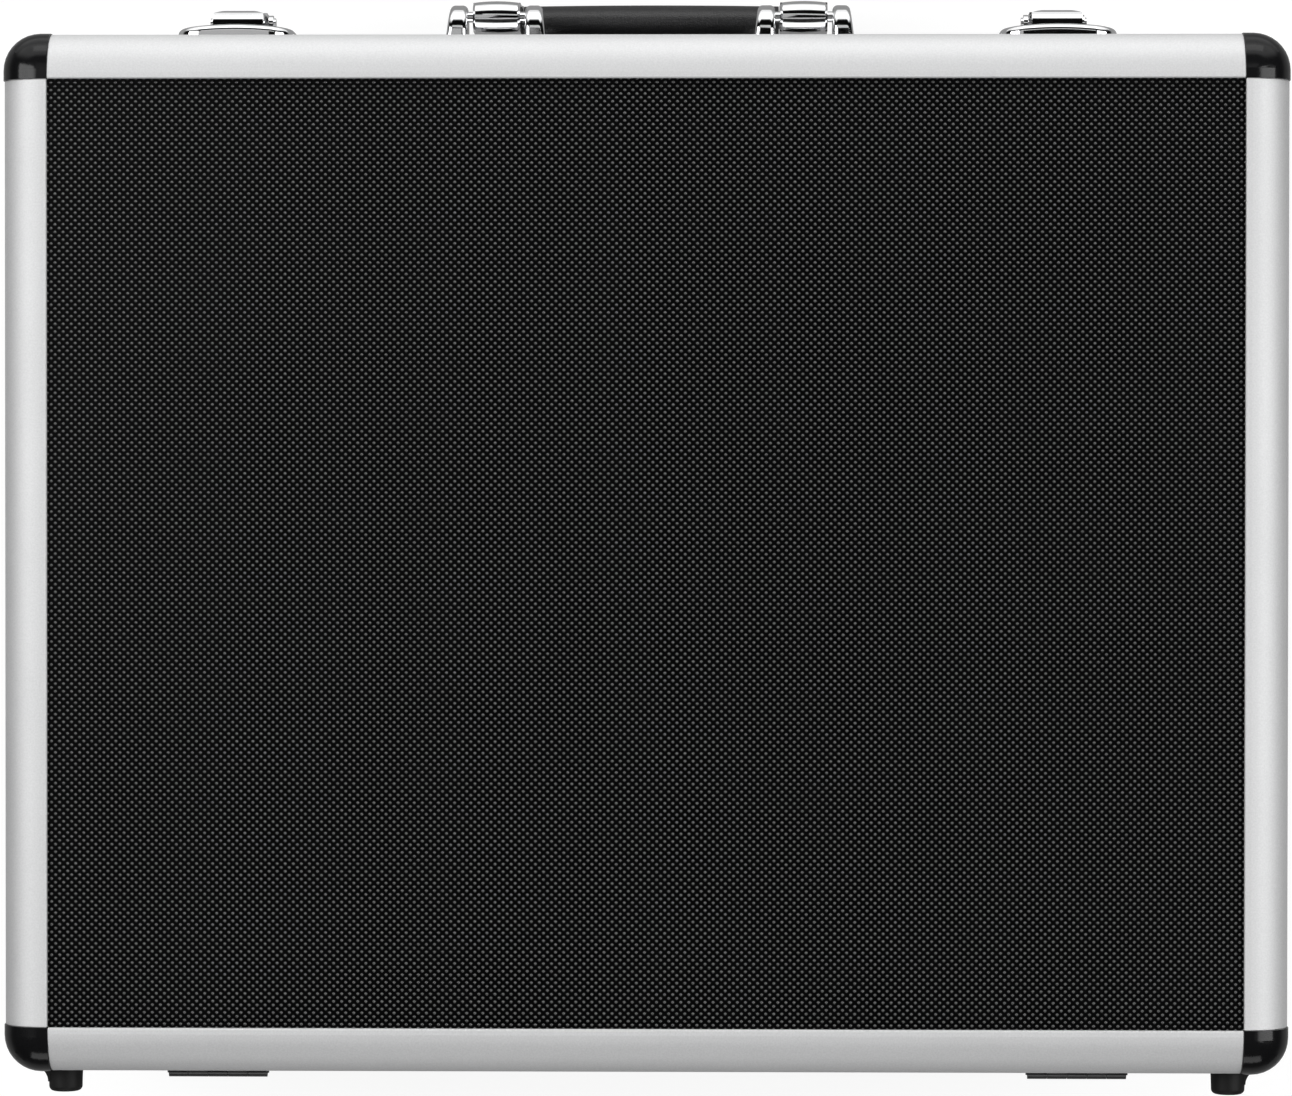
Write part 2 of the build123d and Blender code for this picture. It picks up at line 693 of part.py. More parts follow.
def lever(x):
    """Pressed lever: a top plate with two cheeks, open underneath, bored for both pins."""
    with BuildPart() as part:
        with BuildSketch(profile_plane("handle", x, BASE_DEPTH)) as outline:
            with BuildLine():
                Polyline(*LEVER_OUTLINE, close=True)
            make_face()
            fillet(outline.vertices().group_by(Axis.X)[0], LEVER_ROUND[0])
            fillet(outline.vertices().sort_by(Axis.X)[-2:], LEVER_ROUND[1])
        extrude(amount=LEVER_HALF, both=True)
        top_edges = part.faces().filter_by(lambda f: f.normal_at().Y > 0.7).edges()
        fillet(top_edges.filter_by(lambda e: abs(e.tangent_at(0.5).X) < 0.1), LEVER_ROUND[2])
        with BuildSketch(profile_plane("handle", x, BASE_DEPTH)):
            with BuildLine():
                Polyline(*[(out - LEVER_WALL, z) for out, z in LEVER_OUTLINE], close=True)
            make_face()
        extrude(amount=LEVER_HALF - LEVER_WALL, both=True, mode=Mode.SUBTRACT)
        with BuildSketch(profile_plane("handle", x, BASE_DEPTH)):
            with Locations(PIVOT):
                Circle(PIVOT_PIN_R + RUNNING)
            with Locations(LINK):
                Circle(LINK_PIN_R + TIGHT)
        extrude(amount=LEVER_HALF + 1, both=True, mode=Mode.SUBTRACT)
    return part.part


def hook(x):
    """Draw hook: a plate with a turned-down nose, and two legs back to the lever's link pin."""
    nose_tip = CROWN_TOP + NOSE_CLEAR
    side, crown = HOOK_CROWN
    with BuildPart() as part:
        with BuildSketch(profile_plane("handle", x, BASE_DEPTH)):
            with BuildLine() as run:
                Polyline(
                    (LINK[0] + 1.0, LINK[1] + 0.2),
                    (10.5, -15.4),
                    (crown - HOOK_T / 2, -4.0),
                    (10.4, NOSE_Z - 0.9),
                    (nose_tip, NOSE_Z),
                )
                bends = run.vertices().sort_by(Axis.Y)
                fillet(bends[1:3], HOOK_BEND[0])
                fillet(run.vertices().sort_by(Axis.Y)[-2], HOOK_BEND[1])
            trace(line_width=HOOK_T)
            with Locations(LINK):
                Circle(HOOK_EYE_R)
        extrude(amount=HOOK_HALF, both=True)
        with BuildSketch(Plane((x, Y_HANDLE, BASE_DEPTH + HOOK_CROWN_FROM))):
            with BuildLine():
                Polyline(
                    (HOOK_HALF, side),
                    (HOOK_HALF + 1, side),
                    (HOOK_HALF + 1, crown + 1),
                    (-HOOK_HALF - 1, crown + 1),
                    (-HOOK_HALF - 1, side),
                    (-HOOK_HALF, side),
                )
                ThreePointArc((-HOOK_HALF, side), (0, crown), (HOOK_HALF, side))
            make_face()
        extrude(amount=NOSE_Z + 10, mode=Mode.SUBTRACT)
        with BuildSketch(profile_plane("handle", x, BASE_DEPTH)):
            with Locations((10.0, -15.4)):
                Rectangle(30.0, 20.0)
        extrude(amount=HOOK_LEG_IN, both=True, mode=Mode.SUBTRACT)
        with BuildSketch(profile_plane("handle", x, BASE_DEPTH)):
            with Locations(LINK):
                Circle(LINK_PIN_R + RUNNING)
        extrude(amount=HOOK_HALF + 1, both=True, mode=Mode.SUBTRACT)
    return part.part


def pin(x, place, radius, half_length):
    """Plain pin along X at a place on the latch's profile."""
    with BuildPart() as part:
        with Locations((x, wall_y("handle", place[0]), BASE_DEPTH + place[1])):
            Cylinder(radius, 2 * half_length, rotation=(0, 90, 0))
    return part.part


def headed_pin(x):
    """Pivot pin with a head outside each lug."""
    with BuildPart() as part:
        add(pin(x, PIVOT, PIVOT_PIN_R, LUG_HALF + 0.8))
        for side in (-1, 1):
            add(pin(x + side * (LUG_HALF + 0.45), PIVOT, 2.2, 0.4))
    return part.part


def latches():
    """Two over-centre draw latches; the hook's nose just clears the keeper's crown."""
    for name, sign in SIDES:
        x = sign * LATCH_X
        save(latch_body(x), f"latch_body_{name}")
        save(keeper(x), f"latch_keeper_{name}")
        save(lever(x), f"latch_lever_{name}")
        save(hook(x), f"latch_hook_{name}")
        save(pin(x, LINK, LINK_PIN_R, HOOK_HALF + 0.2), f"latch_link_pin_{name}")
    with BuildPart() as pivots:
        for _, sign in SIDES:
            add(headed_pin(sign * LATCH_X))
    with BuildPart() as screws:
        for _, sign in SIDES:
            for z in BODY_SCREWS:
                add(body_screw(sign * LATCH_X, BASE_DEPTH + z))
    with BuildPart() as washers:
        for _, sign in SIDES:
            for dx, dz in KEEPER_STUDS:
                add(washer(sign * LATCH_X + dx, BASE_DEPTH + dz))
    save(pivots.part, "latch_pivot_pins")
    save(screws.part, "latch_body_screws")
    save(washers.part, "latch_keeper_washers")


# ---------------------------------------------------------------- handle

PIVOT_OUT = 15.0
BRACKET_W = 39.0
BRACKET_TALL = 42.0
BRACKET_T = 1.2
EAR_IN = 10.65
EAR_TOP_W = 17.0
EAR_TOP = 19.3
EAR_R = 9.3
EAR_ROUND = 2.0
BACKING_T = 1.2
BRACKET_NUT = (3.6, 1.7)  # radius over its corners, and height
KNUCKLE_R = 5.9
KNUCKLE_ENDS = (0.5, 1.5, 0.9)  # drop at the shoulder and at the rim, and the shoulder's width
KNUCKLE_HALF = 8.8
HANDLE_PIN_R = 2.0
GRIP_DROP = 28.0
GRIP_OUT = PIVOT_OUT
GRIP_FROM = 48.2
GRIP_MID = (2 * (HANDLE_REACH - GRIP_OUT), 20.0)
GRIP_END = (13.2, 17.6)
ELBOW_HALF = 5.4
ELBOW_R = 12.0
SOCKET = (0.3, 0.6)  # the bow's ends round the grip, and below it
CORE = (3.0, 10.0)


def bracket(x):
    """Cast bracket: a base plate with two drafted ears, and studs through the wall."""
    with BuildPart() as part:
        with BuildSketch(profile_plane("handle", x, HANDLE_Z)):
            with BuildLine():
                flank = EAR_TOP - EAR_R
                Polyline((flank, EAR_R), (BRACKET_T, EAR_R), (BRACKET_T, -EAR_R), (flank, -EAR_R))
                ThreePointArc((flank, -EAR_R), (EAR_TOP, 0), (flank, EAR_R))
            make_face()
        extrude(amount=BRACKET_W / 2, both=True)
        with BuildSketch(Plane((x, Y_HANDLE, HANDLE_Z - 15))):
            with BuildLine():
                Polyline(
                    (-BRACKET_W / 2, 0),
                    (-EAR_TOP_W, EAR_TOP),
                    (EAR_TOP_W, EAR_TOP),
                    (BRACKET_W / 2, 0),
                    close=True,
                )
            make_face()
            with Locations((0, EAR_TOP / 2)):
                Rectangle(2 * EAR_IN, EAR_TOP + 1, mode=Mode.SUBTRACT)
        extrude(amount=30, mode=Mode.INTERSECT)
        root = wall_y("handle", BRACKET_T)
        across = part.edges().filter_by(lambda e: abs(e.tangent_at(0.5).X) > 0.6)
        along_root = part.edges().filter_by(lambda e: max(abs((e @ end).Y - root) for end in (0, 1)) < PLAY)
        fillet(part.edges() - across - along_root, EAR_ROUND)
        with BuildSketch(face_plane("handle", x, HANDLE_Z, -SKIN)):
            RectangleRounded(BRACKET_W, BRACKET_TALL, 5.0)
        extrude(amount=SKIN + BRACKET_T)
        with Locations((x, wall_y("handle", PIVOT_OUT), HANDLE_Z)):
            Cylinder(
                HANDLE_PIN_R + TIGHT, 2 * EAR_TOP_W - 3, rotation=(0, 90, 0), mode=Mode.SUBTRACT
            )
        for dz in (-BRACKET_STUD, BRACKET_STUD):
            with Locations(face_plane("handle", x, HANDLE_Z + dz, -SKIN)):
                Cylinder(
                    STUD_R,
                    BOARD_BACK - SKIN + BACKING_T + BRACKET_NUT[1] + PLAY,
                    align=(Align.CENTER, Align.CENTER, Align.MAX),
                )
    return part.part


def handle_end(x):
    """Cast end of the bow: a barrelled knuckle on the pin, and an elbow that holds the grip."""
    sign = 1 if x > 0 else -1
    grip_z = HANDLE_Z - GRIP_DROP
    elbow_low = grip_z - GRIP_END[1] / 2 - SOCKET[1]
    with BuildPart() as part:
        with BuildSketch(Plane((x, wall_y("handle", PIVOT_OUT), HANDLE_Z))):
            with BuildLine():
                rim, shoulder = KNUCKLE_R - KNUCKLE_ENDS[1], KNUCKLE_R - KNUCKLE_ENDS[0]
                flank = KNUCKLE_HALF - KNUCKLE_ENDS[2]
                Polyline((-flank, shoulder), (-KNUCKLE_HALF, rim), (-KNUCKLE_HALF, 0), (KNUCKLE_HALF, 0))
                Polyline((KNUCKLE_HALF, 0), (KNUCKLE_HALF, rim), (flank, shoulder))
                ThreePointArc((flank, shoulder), (0, KNUCKLE_R), (-flank, shoulder))
            make_face()
        revolve(axis=Axis((x, wall_y("handle", PIVOT_OUT), HANDLE_Z), (1, 0, 0)))
        with BuildSketch(face_plane("handle", x, HANDLE_Z, GRIP_OUT - ELBOW_HALF)) as elbow:
            with Locations((0, (elbow_low - HANDLE_Z) / 2)):
                Rectangle(2 * KNUCKLE_HALF, HANDLE_Z - elbow_low)
            low = elbow.vertices().group_by(Axis.Y)[0].sort_by(Axis.X)
            fillet(low[0] if sign > 0 else low[-1], ELBOW_R)
        extrude(amount=2 * ELBOW_HALF)
        with BuildSketch(Plane.YZ.offset(x - sign * KNUCKLE_HALF)):
            with Locations((wall_y("handle", GRIP_OUT), grip_z)):
                Ellipse(GRIP_END[0] / 2 + SOCKET[0], GRIP_END[1] / 2 + SOCKET[0])
        extrude(amount=sign * 10.0)
        with Locations((x, wall_y("handle", PIVOT_OUT), HANDLE_Z)):
            Cylinder(
                HANDLE_PIN_R + RUNNING, 3 * KNUCKLE_HALF, rotation=(0, 90, 0), mode=Mode.SUBTRACT
            )
        with Locations((x - sign * 4.0, wall_y("handle", GRIP_OUT), grip_z)):
            Box(KNUCKLE_HALF * 2, CORE[0] + 0.1, CORE[1] + 0.1, mode=Mode.SUBTRACT)
    return part.part


def handle():
    """Brackets, pins, bow ends, grip and the strip inside it; the bow hangs from its pins."""
    grip_y, grip_z = wall_y("handle", GRIP_OUT), HANDLE_Z - GRIP_DROP
    with BuildPart() as grip:
        for x, (thick, tall) in ((-GRIP_FROM, GRIP_END), (0, GRIP_MID), (GRIP_FROM, GRIP_END)):
            with BuildSketch(Plane.YZ.offset(x)):
                with Locations((grip_y, grip_z)):
                    Ellipse(thick / 2, tall / 2)
        loft()
        with Locations((0, grip_y, grip_z)):
            Box(3 * GRIP_FROM, CORE[0] + 0.1, CORE[1] + 0.1, mode=Mode.SUBTRACT)
    with BuildPart() as core:
        with Locations((0, grip_y, grip_z)):
            Box(2 * (GRIP_FROM + 12.0), CORE[0], CORE[1])
    save(grip.part, "handle_grip")
    save(core.part, "handle_core")
    with BuildPart() as pins:
        for name, sign in SIDES:
            with Locations((sign * HANDLE_X, wall_y("handle", PIVOT_OUT), HANDLE_Z)):
                Cylinder(HANDLE_PIN_R, 2 * EAR_TOP_W - 3.2, rotation=(0, 90, 0))
    save(pins.part, "handle_pins")
    for name, sign in SIDES:
        save(bracket(sign * HANDLE_X), f"handle_bracket_{name}")
        save(handle_end(sign * HANDLE_X), f"handle_end_{name}")
    with BuildPart() as plates:
        for _, sign in SIDES:
            with BuildSketch(face_plane("handle", sign * HANDLE_X, HANDLE_Z, -BOARD_BACK)):
                RectangleRounded(BRACKET_W, BRACKET_TALL, 4.0)
                with Locations((0, -BRACKET_STUD), (0, BRACKET_STUD)):
                    Circle(STUD_R + HOLE_PLAY, mode=Mode.SUBTRACT)
            extrude(amount=-BACKING_T)
    with BuildPart() as nuts:
        for _, sign in SIDES:
            for dz in (-BRACKET_STUD, BRACKET_STUD):
                at = face_plane("handle", sign * HANDLE_X, HANDLE_Z + dz, -BOARD_BACK - BACKING_T)
                with BuildSketch(at):
                    RegularPolygon(BRACKET_NUT[0], 6)
                    Circle(STUD_R + TIGHT, mode=Mode.SUBTRACT)
                extrude(amount=-BRACKET_NUT[1])
    save(plates.part, "handle_backing_plates")
    save(nuts.part, "handle_bracket_nuts")


shells()
foams()
feet()
hinges()
latches()
handle()
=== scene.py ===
"""Dresses the microphone case: embossed boards, foam linings, and the finish of every part."""

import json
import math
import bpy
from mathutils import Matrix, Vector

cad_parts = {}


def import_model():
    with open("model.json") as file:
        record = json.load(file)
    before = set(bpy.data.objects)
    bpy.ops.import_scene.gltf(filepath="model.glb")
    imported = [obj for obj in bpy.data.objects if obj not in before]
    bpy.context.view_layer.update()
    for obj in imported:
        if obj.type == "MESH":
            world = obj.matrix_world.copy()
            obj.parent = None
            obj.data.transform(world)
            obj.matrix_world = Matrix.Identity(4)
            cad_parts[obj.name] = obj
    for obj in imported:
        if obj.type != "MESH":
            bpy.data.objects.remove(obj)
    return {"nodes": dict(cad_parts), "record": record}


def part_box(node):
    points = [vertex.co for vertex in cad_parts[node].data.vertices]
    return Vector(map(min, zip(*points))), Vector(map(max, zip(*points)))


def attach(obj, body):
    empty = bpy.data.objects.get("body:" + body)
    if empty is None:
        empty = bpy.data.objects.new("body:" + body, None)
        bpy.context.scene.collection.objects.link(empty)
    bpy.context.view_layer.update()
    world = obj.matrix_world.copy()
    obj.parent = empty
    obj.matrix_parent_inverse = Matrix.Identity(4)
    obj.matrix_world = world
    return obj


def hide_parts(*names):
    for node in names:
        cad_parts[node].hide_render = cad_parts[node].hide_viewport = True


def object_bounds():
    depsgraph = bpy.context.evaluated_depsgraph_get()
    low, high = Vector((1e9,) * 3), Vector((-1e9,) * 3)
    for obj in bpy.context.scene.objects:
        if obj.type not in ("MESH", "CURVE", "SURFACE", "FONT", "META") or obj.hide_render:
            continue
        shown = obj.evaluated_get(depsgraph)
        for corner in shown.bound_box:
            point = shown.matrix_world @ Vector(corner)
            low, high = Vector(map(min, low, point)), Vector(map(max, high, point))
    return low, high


bl_info = {
    "name": "Microphone case dresser",
    "version": (1, 0, 0),
    "blender": (4, 5, 0),
    "location": "3D View > Sidebar > Case",
    "description": "Makes the embossed boards and foam, finishes the metalwork and sets the light",
    "category": "Object",
}

import bmesh
import bpy
from bpy.props import FloatProperty, FloatVectorProperty, IntProperty
from mathutils import Euler, Vector

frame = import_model()
CAD_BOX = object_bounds()

NODES = frame["nodes"]
SLOT_OF = {part["node"]: part["material_slot"] for part in frame["record"]["subparts"]}
OPENINGS = {gap["name"]: gap["box_m"] for gap in frame["record"]["physics"]["openings"]}
QUARTER = math.pi / 2
SMOOTH_ANGLE = math.radians(60)  # faces that meet at less than this are shaded as one
EDGE_ANGLE = math.radians(50)  # foam edges that turn by more than this are softened
EDGE_STEPS = 3  # faces across a foam block's softened edge
CORNER_STEPS = 8  # faces round a block's upright corner
WAVE_CELLS = 4  # cells of the lid foam's grid in one wave, so two from a crest to a dip
WAVE_LEVELS = 2  # subdivisions that round the waves
WAVE_KEPT = 4 / 9  # share of a crest's height that the rounding leaves
CREST_PLAY = 0.1  # how far a point may lie from a crest's place, as a share of crest to dip
UPRIGHT_PLAY = 1e-6  # how far apart, seen from above, the ends of an upright edge may be

# Each embossed board by the plain one it replaces: its body and the turn that faces it outwards.
BOARDS = {
    "lid_top_panel": ("lid", (0.0, 0.0, 0.0)),
    "base_floor_panel": ("base", (math.pi, 0.0, 0.0)),
    "base_wall_handle_side": ("base", (QUARTER, 0.0, math.pi)),
    "base_wall_hinge_side": ("base", (QUARTER, 0.0, 0.0)),
    "base_wall_left": ("base", (QUARTER, 0.0, -QUARTER)),
    "base_wall_right": ("base", (QUARTER, 0.0, QUARTER)),
    "lid_wall_handle_side": ("lid", (QUARTER, 0.0, math.pi)),
    "lid_wall_hinge_side": ("lid", (QUARTER, 0.0, 0.0)),
    "lid_wall_left": ("lid", (QUARTER, 0.0, -QUARTER)),
    "lid_wall_right": ("lid", (QUARTER, 0.0, QUARTER)),
}


# ------------------------------------------------------------------ settings


def length(name, description, default):
    """A size that a user may change, in metres."""
    return FloatProperty(
        name=name, description=description, default=default, unit="LENGTH", precision=5
    )


def angle(name, description, default):
    """An angle that a user may change, in radians."""
    return FloatProperty(name=name, description=description, default=default, subtype="ANGLE")


def colour(name, description, default):
    """A colour that a user may change."""
    return FloatVectorProperty(
        name=name,
        description=description,
        default=default,
        subtype="COLOR",
        size=3,
        min=0.0,
        max=1.0,
    )


class CaseSizes(bpy.types.PropertyGroup):
    """Sizes of the embossing and the foam."""

    lattice_run: length("Lattice run", "Pitch of the embossed diamonds along the board", 0.00285)
    lattice_rise: length("Lattice rise", "Pitch of the embossed diamonds across the board", 0.00270)
    emboss: length("Emboss", "Height of a diamond over the bands between them", 0.00030)
    relief: length("Relief", "Height that shades a diamond into a dome", 0.00025)
    board_clear: length("Board clearance", "Depth of the tips under the board's face", 0.00001)
    foam_pitch: length("Foam pitch", "Pitch of the lid foam's waves", 0.0274)
    foam_depth: length("Foam depth", "Depth of the lid foam's waves", 0.0150)
    foam_edge: length("Foam edge", "Rounding of the cut foam's edges", 0.0016)
    pocket_room: length("Pocket room", "Room round what a pocket holds", 0.0030)
    pocket_corner: length("Pocket corner", "Radius of a pocket's upright corners", 0.0050)
    foam_corner: length("Foam corner", "Radius of the linings' upright corners", 0.0060)


class CaseColours(bpy.types.PropertyGroup):
    """Colours of the case's materials."""

    skin: colour("Board skin", "Embossed laminate of the boards", (0.0012, 0.0012, 0.0013))
    aluminium: colour("Aluminium", "Anodised edge extrusions", (0.800, 0.802, 0.806))
    corner: colour("Corner plastic", "Moulded ball corners", (0.0070, 0.0070, 0.0075))
    foam: colour("Foam", "Charcoal lining foam", (0.034, 0.034, 0.037))
    rubber: colour("Rubber", "Moulded feet", (0.008, 0.008, 0.008))
    hinge: colour("Hinge paint", "Black paint on the hinges", (0.014, 0.014, 0.015))
    grip: colour("Grip", "Moulded grip", (0.020, 0.020, 0.021))
    steel: colour("Steel", "Plain zinc-plated steel", (0.600, 0.600, 0.610))
    chrome: colour("Chrome", "Bright plating of the handle and latches", (0.860, 0.862, 0.870))
    floor: colour("Floor", "Pale studio floor", (0.220, 0.220, 0.220))


class CaseStudio(bpy.types.PropertyGroup):
    """The camera's place over the lid and the levels of the lamps."""

    camera_right: length("Camera right", "Camera's place to the right of the lid's middle", 0.03095)
    camera_back: length("Camera back", "How far the camera lies towards the handle", 0.0260)
    camera_height: length("Camera height", "Camera's height over the lid", 1.700)
    tilt: angle("Tilt", "Camera's tilt about X", math.radians(-0.7998))
    lean: angle("Lean", "Camera's lean about Y", math.radians(1.0275))
    turn: angle("Turn", "Camera's turn about Z", math.radians(0.0421))
    lens: FloatProperty(
        name="Lens", description="Focal length for a 36 mm sensor", default=134.69, min=1.0
    )
    ceiling: FloatProperty(name="Ceiling", description="Level of the sky overhead", default=0.002)
    lamp_level: FloatProperty(name="Lamps", description="Multiplies every lamp", default=1.0)
    floor_size: IntProperty(
        name="Floor size", description="Side of the floor, in metres", default=60
    )


# ------------------------------------------------------------------ helpers


def pick_nothing():
    """Leaves edit mode with nothing selected."""
    if bpy.context.object and bpy.context.object.mode != "OBJECT":
        bpy.ops.object.mode_set(mode="OBJECT")
    bpy.ops.object.select_all(action="DESELECT")


def only(piece):
    """Makes a piece the one selected and active object."""
    pick_nothing()
    piece.select_set(True)
    bpy.context.view_layer.objects.active = piece


def settle(piece):
    """Moves a piece's place, turn and scale into its mesh."""
    only(piece)
    bpy.ops.object.transform_apply(location=True, rotation=True, scale=True)


def apply_modifier(piece, kind, **settings):
    """Adds a modifier and applies it."""
    only(piece)
    modifier = piece.modifiers.new(kind.title(), kind)
    for key, value in settings.items():
        setattr(modifier, key, value)
    bpy.ops.object.modifier_apply(modifier=modifier.name)


def select_edges(piece, test):
    """Selects, in edit mode, the edges that pass a test of their two ends."""
    bpy.ops.mesh.select_mode(type="EDGE")
    bpy.ops.mesh.select_all(action="DESELECT")
    shape = bmesh.from_edit_mesh(piece.data)
    for edge in shape.edges:
        edge.select_set(test(edge.verts[0].co, edge.verts[1].co))
    bmesh.update_edit_mesh(piece.data)


def upright(one, other):
    """Whether an edge stands up."""
    return abs(one.x - other.x) < UPRIGHT_PLAY and abs(one.y - other.y) < UPRIGHT_PLAY


def rounded_block(name, low, high, radius):
    """Box between two corners with its upright edges rounded."""
    low, high = Vector(low), Vector(high)
    pick_nothing()
    bpy.ops.mesh.primitive_cube_add(size=1.0, location=(low + high) / 2, scale=high - low)
    block = bpy.context.object
    block.name = block.data.name = name
    settle(block)
    bpy.ops.object.mode_set(mode="EDIT")
    select_edges(block, upright)
    bpy.ops.mesh.bevel(offset=radius, segments=CORNER_STEPS, affect="EDGES")
    bpy.ops.object.mode_set(mode="OBJECT")
    return block


def thicken(rise):
    """Draws a sheet's open border up or down, in edit mode, and closes it into a solid."""
    bpy.ops.mesh.select_mode(type="EDGE")
    bpy.ops.mesh.select_all(action="DESELECT")
    bpy.ops.mesh.select_non_manifold(
        extend=False, use_wire=False, use_multi_face=False, use_verts=False
    )
    bpy.ops.mesh.extrude_region_move(TRANSFORM_OT_translate={"value": (0, 0, rise)})
    bpy.ops.mesh.edge_face_add()
    bpy.ops.mesh.select_all(action="SELECT")
    bpy.ops.mesh.normals_make_consistent(inside=False)
    bpy.ops.object.mode_set(mode="OBJECT")


def dress(piece, body, slot, material, *nodes):
    """Gives a finished piece its material and its body, and hides the nodes it stands for. The slot
    is not used.
    """
    piece.data.materials.clear()
    piece.data.materials.append(material)
    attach(piece, body)
    if nodes:
        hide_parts(*nodes)


def finish_nodes(slot, material):
    """Puts a material on every shown part of one slot."""
    for name, node in NODES.items():
        if SLOT_OF[name] != slot or node.hide_render:
            continue
        if not node.material_slots:
            node.data.materials.append(material)
        for place in node.material_slots:
            place.material = material


# ------------------------------------------------------------------ materials


# Sockets of a Mix node that mixes colours, which share their names with those for other kinds.
MIX_FACTOR, MIX_START, MIX_END, MIX_RESULT = 0, 6, 7, 2


def wire(tree, kind, inputs, **settings):
    """Adds a shader node; each input is a plain value or another node's output."""
    new = tree.nodes.new(kind)
    for key, value in settings.items():
        setattr(new, key, value)
    for key, value in inputs.items():
        if isinstance(value, bpy.types.NodeSocket):
            tree.links.new(value, new.inputs[key])
        else:
            new.inputs[key].default_value = value
    return new


def new_material(name, **sockets):
    """Material with a principled shader whose plain values are set on its own sockets."""
    material = bpy.data.materials.new(name)
    material.use_nodes = True
    tree = material.node_tree
    shader = tree.nodes["Principled BSDF"]
    for key, value in sockets.items():
        shader.inputs[key.replace("_", " ").title().replace("Ior", "IOR")].default_value = value
    return material, tree, shader


def object_place(tree):
    """Output of the object coordinates."""
    return wire(tree, "ShaderNodeTexCoord", {}).outputs["Object"]


def noise(tree, place, scale, detail=2.0):
    """Output of a noise of some scale, in waves to the metre."""
    inputs = {"Vector": place, "Scale": scale, "Detail": detail}
    return wire(tree, "ShaderNodeTexNoise", inputs).outputs["Fac"]


def pattern(tree, place, feature, scale):
    """Distance output of a cell pattern of some scale, in cells to the metre."""
    inputs = {"Vector": place, "Scale": scale}
    return wire(tree, "ShaderNodeTexVoronoi", inputs, feature=feature).outputs["Distance"]


def put(tree, shader, socket, value):
    """Links a node's output to one of the shader's sockets."""
    tree.links.new(value, shader.inputs[socket])


def spread(tree, value, low, high, kind="LINEAR", start=0.0, end=1.0):
    """Maps a value from one range to another."""
    inputs = {"Value": value, "From Min": start, "From Max": end, "To Min": low, "To Max": high}
    mapped = wire(tree, "ShaderNodeMapRange", inputs, interpolation_type=kind)
    return mapped.outputs["Result"]


def mixed(tree, factor, start, end):
    """Colour that goes from a start to an end as the factor goes from 0 to 1."""
    inputs = {MIX_FACTOR: factor, MIX_START: start, MIX_END: end}
    return wire(tree, "ShaderNodeMix", inputs, data_type="RGBA").outputs[MIX_RESULT]


def tinted(tree, factor, base, dark, light):
    """Colour that varies between a darker and a lighter shade of a base."""
    shades = [[level * part for part in base] + [1.0] for level in (dark, light)]
    return mixed(tree, factor, *shades)


def bumped(tree, height, distance, strength=1.0, under=None):
    """Normal of a height in metres, over another bump if one is given."""
    inputs = {"Height": height, "Distance": distance, "Strength": strength}
    if under is not None:
        inputs["Normal"] = under
    return wire(tree, "ShaderNodeBump", inputs).outputs["Normal"]


def maths(tree, operation, *values):
    """Output of a math node."""
    return wire(tree, "ShaderNodeMath", dict(enumerate(values)), operation=operation).outputs[0]


def off_centre(tree, value):
    """How far a lattice coordinate lies from its cell's middle, as a share of half a cell."""
    nearest = maths(tree, "ROUND", value)
    away = maths(tree, "SUBTRACT", value, nearest)
    return maths(tree, "MULTIPLY", maths(tree, "ABSOLUTE", away), 2.0)


BAND_FROM = 0.66  # where the flat band round a diamond begins, in half cells
TOP_TO = 0.10  # where the diamond's small flat top ends
DIAMOND_SHARPNESS = 2.6  # 2 is an oval dome, more is squarer


def diamond_height(tree, place):
    """Height of the embossed lattice, from 0 on the bands to 1 on a diamond's top."""
    axes = wire(tree, "ShaderNodeSeparateXYZ", {"Vector": place}).outputs
    along = off_centre(tree, maths(tree, "ADD", axes["X"], axes["Y"]))
    across = off_centre(tree, maths(tree, "SUBTRACT", axes["X"], axes["Y"]))
    powers = [maths(tree, "POWER", side, DIAMOND_SHARPNESS) for side in (along, across)]
    reach = maths(tree, "POWER", maths(tree, "ADD", *powers), 1 / DIAMOND_SHARPNESS)
    return spread(tree, reach, 0.0, 1.0, "SMOOTHSTEP", BAND_FROM, TOP_TO)


GLOSS_FROM = (0.10, 0.40)  # heights on a diamond where the gloss coat begins and where it is full
SKIN_ROUGH = (0.30, 0.36)  # lowest and highest roughness of the laminate
GRIP_ROUGH = (0.36, 0.44)  # the same for the grip
FINE_SPECKLE = (-0.02, 0.02)  # how far a fine grain takes a roughness down and up
GRIP_SPECKLE = (-0.04, 0.04)  # the same for the grip


def skin_material(name, centre, turn):
    """Black laminate, embossed with domes whose gloss stops at the bands between them."""
    sizes, colours = bpy.context.scene.case_sizes, bpy.context.scene.case_colours
    material, tree, shader = new_material(
        f"embossed_skin_{name}", specular_ior_level=0.06, coat_roughness=0.28, coat_ior=2.0
    )
    place = object_place(tree)
    lattice = {
        "Vector": place,
        "Location": centre,
        "Rotation": turn,
        "Scale": (sizes.lattice_run, sizes.lattice_rise, 1.0),
    }
    cells = wire(tree, "ShaderNodeMapping", lattice, vector_type="TEXTURE").outputs[0]
    height = diamond_height(tree, cells)
    cloud = noise(tree, place, scale=18.0, detail=3.0)
    grain = noise(tree, place, scale=2600.0)
    put(tree, shader, "Base Color", tinted(tree, cloud, colours.skin, dark=0.8, light=1.25))
    patches = spread(tree, cloud, *FINE_SPECKLE)
    put(tree, shader, "Roughness", maths(tree, "ADD", spread(tree, grain, *SKIN_ROUGH), patches))
    put(tree, shader, "Coat Weight", spread(tree, height, 0.0, 1.0, "SMOOTHSTEP", *GLOSS_FROM))
    relief = bumped(tree, height, sizes.relief)
    worn = bumped(tree, grain, distance=0.00001, strength=0.35, under=relief)
    put(tree, shader, "Normal", worn)
    put(tree, shader, "Coat Normal", worn)
    return material


